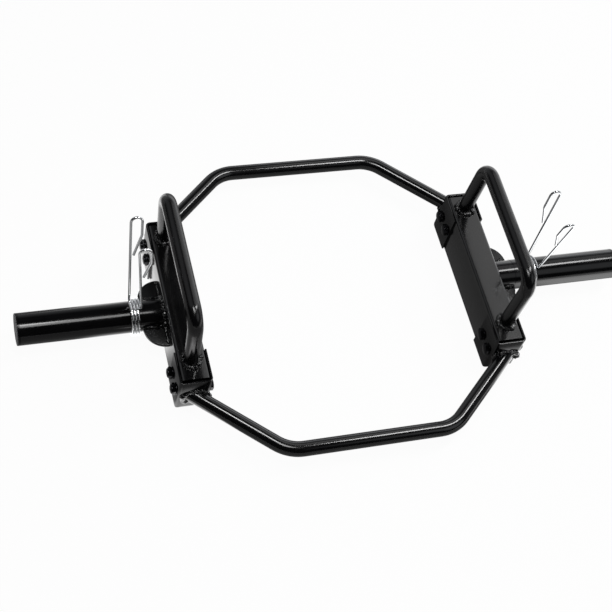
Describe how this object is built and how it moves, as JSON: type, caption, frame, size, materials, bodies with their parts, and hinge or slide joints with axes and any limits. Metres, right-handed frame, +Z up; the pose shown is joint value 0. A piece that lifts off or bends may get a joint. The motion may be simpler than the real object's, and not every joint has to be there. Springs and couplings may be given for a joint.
{
  "type": "hex trap bar",
  "caption": "Six-sided lifting frame with raised D handles on box-section side rails, short plate sleeves with gussets and sliding spring collars",
  "frame": {"origin": "on the floor, under the middle of the frame", "axes": "+Z up, +X along the right sleeve, +Y towards the rear bar"},
  "size_m": [1.01, 0.544, 0.2352],
  "materials": {
    "painted_steel": "gloss",
    "black_zinc": "satin",
    "chrome_wire": "polished"
  },
  "bodies": {
    "frame": {"left_rail": "painted_steel", "right_rail": "painted_steel", "left_front_bracket": "painted_steel", "right_front_bracket": "painted_steel", "left_rear_bracket": "painted_steel", "right_rear_bracket": "painted_steel", "frame_bolts": "black_zinc", "frame_washers": "black_zinc", "frame_nuts": "black_zinc", "front_bar": "painted_steel", "rear_bar": "painted_steel", "bar_welds": "painted_steel", "left_handle": "painted_steel", "right_handle": "painted_steel", "handle_welds": "painted_steel", "left_sleeve": "painted_steel", "right_sleeve": "painted_steel", "left_end_cap": "painted_steel", "right_end_cap": "painted_steel", "sleeve_welds": "painted_steel", "left_front_gusset": "painted_steel", "left_rear_gusset": "painted_steel", "right_front_gusset": "painted_steel", "right_rear_gusset": "painted_steel"},
    "left_collar": {"left_collar_coil": "chrome_wire", "left_collar_outer_arm": "chrome_wire"},
    "left_collar_lever": {"left_collar_inner_arm": "chrome_wire"},
    "right_collar": {"right_collar_coil": "chrome_wire", "right_collar_outer_arm": "chrome_wire"},
    "right_collar_lever": {"right_collar_inner_arm": "chrome_wire"}
  },
  "joints": [
    {"name": "left_collar_slide", "type": "slide", "parent": "frame", "child": "left_collar", "axis": [-1, 0, 0], "range_m": [0, 0.22]},
    {"name": "left_collar_squeeze", "type": "hinge", "parent": "left_collar", "child": "left_collar_lever", "pos_m": [-0.324, 0, 0.043], "axis": [-1, 0, 0], "range_deg": [0, 14], "stiffness_Nm_per_rad": 15, "springref_deg": -9.74, "deforming": ["left_collar_coil"]},
    {"name": "right_collar_slide", "type": "slide", "parent": "frame", "child": "right_collar", "axis": [1, 0, 0], "range_m": [-0.021, 0.2]},
    {"name": "right_collar_squeeze", "type": "hinge", "parent": "right_collar", "child": "right_collar_lever", "pos_m": [0.346, 0, 0.043], "axis": [1, 0, 0], "range_deg": [0, 14], "stiffness_Nm_per_rad": 15, "springref_deg": -9.74, "deforming": ["right_collar_coil"]}
  ]
}
